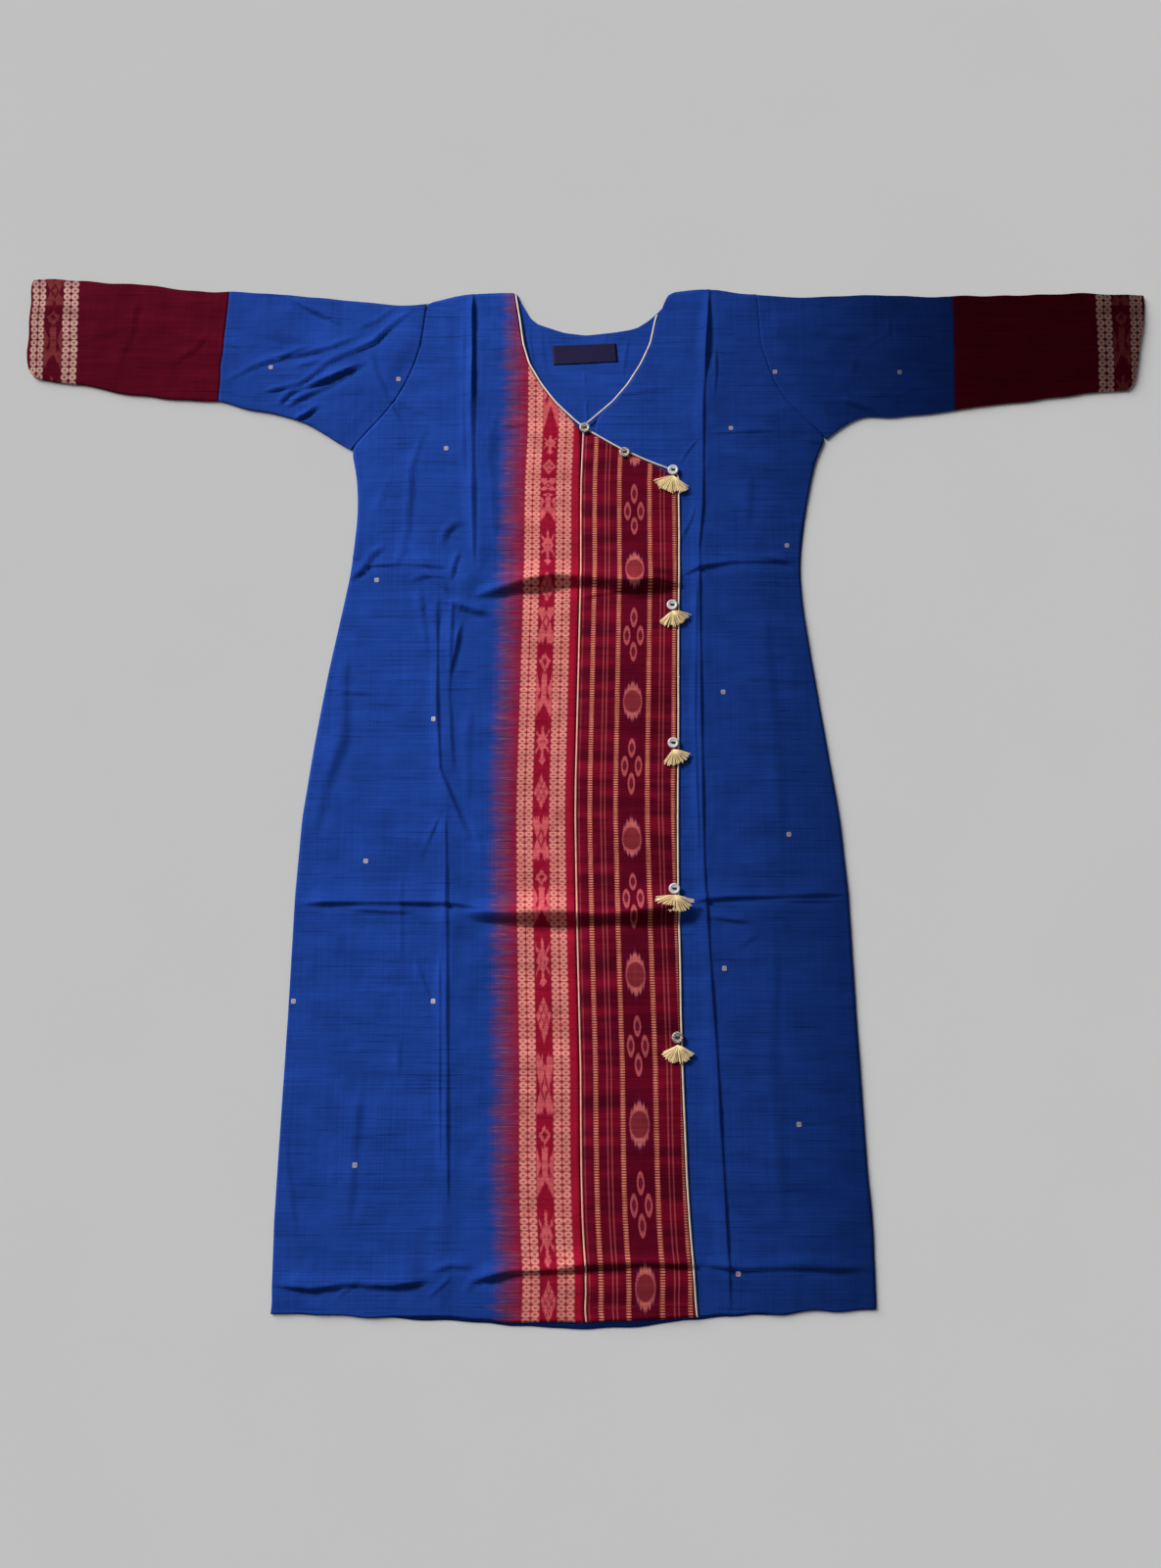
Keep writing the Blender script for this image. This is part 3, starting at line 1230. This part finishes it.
def cloth_surface():
    """The upper cloth as it lies now, to set small things down on."""
    return search_tree(copy_of(bpy.data.objects[row["piece"]].data) for row in SHEETS.values())


def set_down(surface, x, y):
    """The highest point of the cloth over a place in plan, and the cloth's normal there."""
    point, normal, _, _ = surface.ray_cast(Vector((x, y, 0.05)), Vector((0, 0, -1)))
    if point is None:
        point, normal, _, _ = surface.find_nearest(Vector((x, y, 0.01)))
    return point, normal


def add_rod(bm, place, radius, length, segments, top=None):
    """A closed rod along its place's own Z, or a cone where its top has a radius of its own."""
    ends = {"radius1": radius, "radius2": top or radius}
    bmesh.ops.create_cone(bm, cap_ends=True, segments=segments, depth=length, matrix=place, **ends)


def add_stitches(bm, surface, line):
    """A row of stitches along a line in plan (metres): short round bars half sunk in the cloth."""
    sizes = bpy.context.scene.kurti_trims
    points = [Vector(point) for point in line]
    for start, end in zip(points[:-1], points[1:]):
        run = end - start
        count = max(1, round(run.length / sizes.stitch_pitch))
        for index in range(count):
            middle = start + run * ((index + 0.5) / count)
            point, normal = set_down(surface, middle.x, middle.y)
            ahead = Vector((run.x, run.y, 0))
            ahead = (ahead - normal * ahead.dot(normal)).normalized()
            turn = Matrix((normal.cross(ahead), normal, ahead)).transposed().to_4x4()
            place = Matrix.Translation(point + normal * sizes.stitch_radius * 0.5)
            add_rod(bm, place @ turn, sizes.stitch_radius, sizes.stitch, 5)


def hem_line(node, low, high):
    """A line a little inside the hem of a node, between two places in x (metres)."""
    places = np.array([vertex.co for vertex in frame["nodes"][node].data.vertices])
    line = []
    for x in np.linspace(low, high, 12):
        near = places[abs(places[:, 0] - x) < 0.03]
        line.append((x, near[:, 1].min() + HEM_INSET))
    return line


class KURTI_OT_stitching(bpy.types.Operator):
    """Sews the hems, the cuffs and the edge beside the overlap's seam"""

    bl_idname = "kurti.stitching"
    bl_label = "Stitching"

    def execute(self, context):
        surface = cloth_surface()
        rows = {"blue": bmesh.new(), "red": bmesh.new()}
        beside = [(x - SEAM_INSET, y) for y, x in zip(*seam_line())]
        add_stitches(rows["red"], surface, beside[1:])
        for row in HEM_STITCHES:
            add_stitches(rows[row["thread"]], surface, hem_line(row["node"], row["low"], row["high"]))
        for row in CUFF_STITCHES:
            start = (row["side"] * row["x"], row["low"])
            end = (row["side"] * (row["x"] + CUFF_LEAN), row["high"])
            add_stitches(rows["red"], surface, [start, end])
        blue_thread = material_once("blue sewing thread", thread_material, colour("blue"), 0.5)
        red_thread = material_once("red sewing thread", thread_material, colour("crimson"), 0.5)
        new_piece("blue_stitches", rows["blue"], blue_thread)
        new_piece("red_stitches", rows["red"], red_thread)
        return {"FINISHED"}


class KURTI_OT_squares(bpy.types.Operator):
    """Weaves the small pale squares into the blue cloth, each with two dark specks"""

    bl_idname = "kurti.squares"
    bl_label = "Woven squares"

    def execute(self, context):
        width = context.scene.kurti_trims.square
        surface = cloth_surface()
        pale = bmesh.new()
        dark = bmesh.new()
        for row in SQUARES:
            x, y = row["x"] * MM, row["y"] * MM
            for bar in range(SQUARE_BARS):
                share = (bar + 0.5) / SQUARE_BARS * 2 - 1
                point, normal = set_down(surface, x, y + share * width / 2)
                turn = Vector((0, 0, 1)).rotation_difference(normal).to_matrix().to_4x4()
                place = Matrix.Translation(point + normal * 0.00008) @ turn @ ALONG_X
                add_rod(pale, place, width / SQUARE_BARS * 0.56, width * (1 - 0.35 * share**4), 6)
            point = set_down(surface, x, y)[0]
            for step in (-1, 1):
                aside = Vector((step * width * 0.16, step * width * 0.1, 0.00022))
                place = Matrix.Translation(point + aside)
                bmesh.ops.create_icosphere(dark, subdivisions=1, radius=width * 0.1, matrix=place)
        pale_thread = material_once("pale woven thread", thread_material, PALE_THREAD, 0.7)
        dark_thread = material_once("dark woven thread", thread_material, DARK_THREAD, 0.7)
        new_piece("woven_squares", pale, pale_thread)
        new_piece("woven_specks", dark, dark_thread)
        return {"FINISHED"}


# ---- Buttons --------------------------------------------------------------------------------------------

# Half of a button's section, from the middle of its base round the rim to the middle of its dish.
BUTTON_SECTION = table("across up", [
    (0, 0), (0.78, 0), (0.92, 0.12), (1, 0.45), (0.97, 0.75), (0.86, 0.98), (0.74, 1), (0.62, 0.84),
    (0.48, 0.7), (0, 0.66),
])
PALE_BUTTONS = (3, 4, 5, 6)  # counted from the neck down
# Shares of a button's radius.
HOLE = {"spacing": 0.52, "radius": 0.15}
HOLE_THREAD = {"spacing": 0.24, "radius": 0.09, "length": 0.62}
SHANK = {"radius": 0.3, "top": 0.22}
SHANK_LENGTH = 0.0016  # in metres
SHANK_DROP = 0.0007


def button_disc(radius, height, base):
    """A turned disc with a rounded rim and a dished face, as a bmesh."""
    bm = bmesh.new()
    points = [bm.verts.new((row["across"] * radius, 0, row["up"] * height)) for row in BUTTON_SECTION]
    edges = [bm.edges.new(pair) for pair in zip(points[:-1], points[1:])]
    bmesh.ops.spin(
        bm, geom=points + edges, cent=(0, 0, 0), axis=(0, 0, 1), angle=2 * math.pi, steps=40, use_merge=True
    )
    bmesh.ops.remove_doubles(bm, verts=bm.verts, dist=1e-6)
    bmesh.ops.recalc_face_normals(bm, faces=bm.faces)
    bmesh.ops.translate(bm, verts=bm.verts, vec=base)
    return bm


def cut_holes(piece, centre, spacing, radius):
    """Drills the two thread holes."""
    bm = bmesh.new()
    for step in (-0.5, 0.5):
        add_rod(bm, Matrix.Translation(centre + Vector((step * spacing, 0, 0))), radius, 0.01, 16)
    drill = bpy.data.objects.new("drill", bpy.data.meshes.new("drill"))
    bm.to_mesh(drill.data)
    bm.free()
    bpy.context.scene.collection.objects.link(drill)
    modifier = piece.modifiers.new("Holes", "BOOLEAN")
    modifier.object = drill
    modifier.operation = "DIFFERENCE"
    apply_modifiers(piece)
    bpy.data.objects.remove(drill)


class KURTI_OT_buttons(bpy.types.Operator):
    """Turns the seven shell buttons and sews them on"""

    bl_idname = "kurti.buttons"
    bl_label = "Buttons"

    def execute(self, context):
        dark = bmesh.new()
        for number in range(1, 8):
            node = f"button_{number}"
            low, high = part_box(node)
            radius = (high.x - low.x) / 2
            height = high.z - low.z
            base = Vector(((low.x + high.x) / 2, (low.y + high.y) / 2, low.z))
            base.z += rise_at(base.x, base.y)
            tone = "pale" if number in PALE_BUTTONS else "grey"
            shell = material_once(tone + " shell", shell_material, tone + "_shell")
            piece = new_piece(node + "_shell", button_disc(radius, height, base), shell, node)
            cut_holes(piece, base, radius * HOLE["spacing"], radius * HOLE["radius"])
            piece.data.shade_smooth()
            for step in (-0.5, 0.5):
                aside = Vector((0, step * HOLE_THREAD["spacing"] * radius, height * 0.8))
                thickness, length = radius * HOLE_THREAD["radius"], radius * HOLE_THREAD["length"]
                add_rod(dark, Matrix.Translation(base + aside) @ ALONG_X, thickness, length, 8)
            shank = Matrix.Translation(base - Vector((0, 0, SHANK_DROP)))
            add_rod(dark, shank, radius * SHANK["radius"], SHANK_LENGTH, 10, radius * SHANK["top"])
        thread = material_once("dark button thread", thread_material, BUTTON_THREAD, 0.5)
        new_piece("button_thread", dark, thread)
        return {"FINISHED"}


# ---- Tassels --------------------------------------------------------------------------------------------

# The tips of each tassel lie on an arc from the first angle to the last, measured from straight down and
# positive towards +X, with a longer or shorter reach in the middle, in millimetres.
TASSELS = table("node button start stop side_reach middle_reach", [
    ("tassel_1", "button_3", -80, 50, 20, 18),
    ("tassel_2", "button_4", -46, 80, 18, 15),
    ("tassel_3", "button_5", -34, 76, 17, 15),
    ("tassel_4", "button_6", -84, 80, 20, 16),
    ("tassel_5", "button_7", -62, 66, 17, 17),
])
# Five places along a thread, in metres over the cloth, and how much higher the threads on top lie there.
THREAD_HEIGHTS = table("up layer", [
    (0.0012, 0.0012), (0.0026, 0.0018), (0.0022, 0.0016), (0.0012, 0.0012), (0.0005, 0.0008),
])


def tassel_curve(row, sizes):
    """The threads of a tassel as splines that spread from under the button and droop to the cloth."""
    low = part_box(row["node"])[0]
    button_low, button_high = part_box(row["button"])
    head = Vector(((button_low.x + button_high.x) / 2, button_low.y - 0.0015, 0))
    head.z = low.z + rise_at(head.x, head.y - 0.006)
    curve = bpy.data.curves.new(row["node"], "CURVE")
    curve.dimensions = "3D"
    curve.bevel_depth = sizes.strand
    curve.bevel_resolution = 1
    curve.resolution_u = 5
    curve.use_fill_caps = True
    for index in range(sizes.strands):
        share = (index + 0.5) / sizes.strands
        jitter = [noise.noise(Vector((index * 1.7, seed * 5.3, low.y * 100))) for seed in range(5)]
        angle = math.radians(row["start"] + (row["stop"] - row["start"]) * share + 10 * jitter[0])
        middle = 1 - abs(2 * share - 1) ** 1.6
        reach = (row["side_reach"] * (1 - middle) + row["middle_reach"] * middle) * MM
        reach *= 1 + 0.22 * jitter[1]
        ahead = Vector((math.sin(angle), -math.cos(angle), 0))
        side = Vector((ahead.y, -ahead.x, 0))
        layer = (index * 7 % 5) / 4
        spline = curve.splines.new("NURBS")
        spline.points.add(len(THREAD_HEIGHTS) - 1)
        for step, height in enumerate(THREAD_HEIGHTS):
            along = step / (len(THREAD_HEIGHTS) - 1)
            sway = side * (0.0016 * jitter[2] * along + 0.0009 * jitter[3] * math.sin(5 * along))
            place = head + ahead * reach * along + sway
            spline.points[step].co = (place.x, place.y, place.z + height["up"] + height["layer"] * layer, 1)
            spline.points[step].radius = 0.75 + 0.55 * along + 0.2 * jitter[4]
        spline.use_endpoint_u = True
        spline.order_u = 3
    return curve


class KURTI_OT_tassels(bpy.types.Operator):
    """Ties the five thread tassels under the buttons"""

    bl_idname = "kurti.tassels"
    bl_label = "Tassels"

    def execute(self, context):
        thread = material_once("cream tassel thread", thread_material, colour("thread"), 0.9)
        for row in TASSELS:
            holder = bpy.data.objects.new("strands", tassel_curve(row, context.scene.kurti_trims))
            context.scene.collection.objects.link(holder)
            bm = copy_of(shown_mesh(holder))
            bpy.data.objects.remove(holder)
            bmesh.ops.recalc_face_normals(bm, faces=bm.faces)
            piece = new_piece(row["node"] + "_threads", bm, thread, row["node"])
            piece.data.shade_smooth()
        return {"FINISHED"}


# ---- Label ----------------------------------------------------------------------------------------------

# In metres: the tape's thickness, the x of its two ends, which curl up a little, and how uneven it lies.
TAPE_THICKNESS = 0.0004
TAPE_ENDS = (-0.04, 0.034)
TAPE_CURL = 0.0002
TAPE_RIPPLE = 0.00025


class KURTI_OT_label(bpy.types.Operator):
    """Sews the blank neck label to the inside of the back"""

    bl_idname = "kurti.label"
    bl_label = "Neck label"

    def execute(self, context):
        bm = merged_node("label")
        keep_top(bm)
        join_quads(bm)
        corners = [vertex.co.copy() for vertex in bm.faces[:][0].verts]
        bmesh.ops.subdivide_edges(bm, edges=bm.edges, cuts=20, use_grid_fill=True)
        for vertex in bm.verts:
            from_end = min(abs(vertex.co.x - end) for end in TAPE_ENDS) / MM
            vertex.co.z += TAPE_CURL * math.exp(-from_end / 3) + TAPE_RIPPLE * noise.noise(vertex.co * 60)
        tape = material_once("label tape", tape_material)
        piece = new_piece("neck_label", bm, tape, "label")
        give_thickness(piece, TAPE_THICKNESS)
        surface = BVHTree.FromObject(piece, context.evaluated_depsgraph_get())
        middle = sum(corners, Vector()) / len(corners)
        inside = [corner.lerp(middle, 0.07) for corner in corners]
        stitches = bmesh.new()
        add_stitches(stitches, surface, [(corner.x, corner.y) for corner in [*inside, inside[0]]])
        thread = material_once("navy label thread", thread_material, LABEL_THREAD, 0.5)
        new_piece("label_stitches", stitches, thread)
        return {"FINISHED"}


# ---- Stage ----------------------------------------------------------------------------------------------

# Places in metres, and sizes in metres or degrees.
MIDDLE = (-0.05, 0, 0)
LIGHTS_AT = (-3.9, 3.43, 3.0)
KEY_SIZE = 1.5
EVEN_ANGLE = 50
FLOOR_HALF = 5
CAMERA_AT = (-0.0076, -0.2785, 1.3105)
CAMERA_AIM = (-0.0076, -0.02375, 0)
PICTURE_HEIGHT = 1600  # the pixels that the focal length counts in
# Where along x the key light weakens, half the width of each step, and the share that it loses there.
LEFT_FALL = {"x": 0.21, "half": 0.25}
RIGHT_FALL = {"x": -0.375, "half": 0.175, "share": 0.4}


def add_light(name, kind, power):
    """A light that points at the middle of the kurti."""
    light = bpy.data.lights.new(name, kind)
    light.energy = power
    holder = bpy.data.objects.new(name, light)
    holder.location = LIGHTS_AT
    holder.rotation_euler = (Vector(MIDDLE) - Vector(LIGHTS_AT)).to_track_quat("-Z", "Y").to_euler()
    bpy.context.scene.collection.objects.link(holder)
    return holder


def limit_light(holder, floor, state):
    """Lets a light reach the floor alone ("INCLUDE") or all but the floor ("EXCLUDE")."""
    reach = bpy.data.collections.new(holder.name + " reach")
    reach.objects.link(floor)
    reach.collection_objects[0].light_linking.link_state = state
    holder.light_linking.receiver_collection = reach


def grade_light(light):
    """Weakens a light by where its rays land: a lot towards the wearer's left, a little at the far right."""
    light.use_nodes = True
    tree = light.node_tree
    geometry = tree.nodes.new("ShaderNodeNewGeometry")
    parts = {}
    for output in ("Position", "Incoming"):
        split = tree.nodes.new("ShaderNodeSeparateXYZ")
        tree.links.new(geometry.outputs[output], split.inputs[0])
        parts[output] = [Value(tree, split.outputs[axis]) for axis in "XZ"]
    (from_x, from_z), (ray_x, ray_z) = parts["Position"], parts["Incoming"]
    lands = from_x - ray_x * from_z / ray_z
    right = lands.below(RIGHT_FALL["x"], RIGHT_FALL["half"]) * RIGHT_FALL["share"]
    strength = lands.below(LEFT_FALL["x"], LEFT_FALL["half"]) * Value.opposite(right)
    plug(tree, strength, tree.nodes["Emission"].inputs["Strength"])


class KURTI_OT_stage(bpy.types.Operator):
    """Sets up the floor, the lights and the camera"""

    bl_idname = "kurti.stage"
    bl_label = "Stage"

    def execute(self, context):
        scene = context.scene
        sizes = scene.kurti_stage
        bm = bmesh.new()
        bmesh.ops.create_grid(bm, x_segments=8, y_segments=8, size=FLOOR_HALF)
        mesh = bpy.data.meshes.new("floor")
        bm.to_mesh(mesh)
        bm.free()
        floor = bpy.data.objects.new("floor", mesh)
        floor.data.materials.append(floor_material("pale floor"))
        scene.collection.objects.link(floor)

        world = bpy.data.worlds.new("soft sky")
        world.use_nodes = True
        sky = world.node_tree.nodes["Background"]
        sky.inputs["Color"].default_value = (1, 1, 1, 1)
        sky.inputs["Strength"].default_value = sizes.sky
        scene.world = world
        scene.view_settings.view_transform = "Standard"
        key = add_light("key", "AREA", sizes.key)
        key.data.size = KEY_SIZE
        grade_light(key.data)
        limit_light(key, floor, "EXCLUDE")
        even = add_light("even floor light", "SUN", sizes.sun)
        even.data.angle = math.radians(EVEN_ANGLE)
        limit_light(even, floor, "INCLUDE")

        camera = bpy.data.cameras.new("camera")
        camera.sensor_fit = "VERTICAL"
        camera.lens = camera.sensor_height * sizes.focal / PICTURE_HEIGHT
        holder = bpy.data.objects.new("camera", camera)
        holder.location = CAMERA_AT
        holder.rotation_euler = (Vector(CAMERA_AIM) - holder.location).to_track_quat("-Z", "Y").to_euler()
        scene.collection.objects.link(holder)
        scene.camera = holder
        return {"FINISHED"}


# ---- The add-on -----------------------------------------------------------------------------------------

MAKERS = (
    KURTI_OT_stage,
    KURTI_OT_back,
    KURTI_OT_fronts,
    KURTI_OT_sleeves,
    KURTI_OT_piping,
    KURTI_OT_squares,
    KURTI_OT_stitching,
    KURTI_OT_buttons,
    KURTI_OT_tassels,
    KURTI_OT_label,
)
SETTINGS = {
    "kurti_cloth": ClothSizes,
    "kurti_trims": TrimSizes,
    "kurti_colours": Colours,
    "kurti_stage": StageSizes,
}


class KURTI_PT_panel(bpy.types.Panel):
    """Lists the sizes, the colours and what makes each piece"""

    bl_label = "Kurti"
    bl_idname = "KURTI_PT_panel"
    bl_space_type = "VIEW_3D"
    bl_region_type = "UI"
    bl_category = "Kurti"

    def draw(self, context):
        for name, group in SETTINGS.items():
            box = self.layout.box()
            settings = getattr(context.scene, name)
            for prop in group.__annotations__:
                box.prop(settings, prop)
        for maker in MAKERS:
            self.layout.operator(maker.bl_idname)


def register():
    for name, group in SETTINGS.items():
        bpy.utils.register_class(group)
        setattr(bpy.types.Scene, name, PointerProperty(type=group))
    for maker in MAKERS:
        bpy.utils.register_class(maker)
    bpy.utils.register_class(KURTI_PT_panel)


def unregister():
    bpy.utils.unregister_class(KURTI_PT_panel)
    for maker in reversed(MAKERS):
        bpy.utils.unregister_class(maker)
    for name, group in SETTINGS.items():
        delattr(bpy.types.Scene, name)
        bpy.utils.unregister_class(group)


def main():
    register()
    for maker in MAKERS:
        family, name = maker.bl_idname.split(".")
        getattr(getattr(bpy.ops, family), name)()
    bpy.context.view_layer.update()


if __name__ == "__main__":
    main()
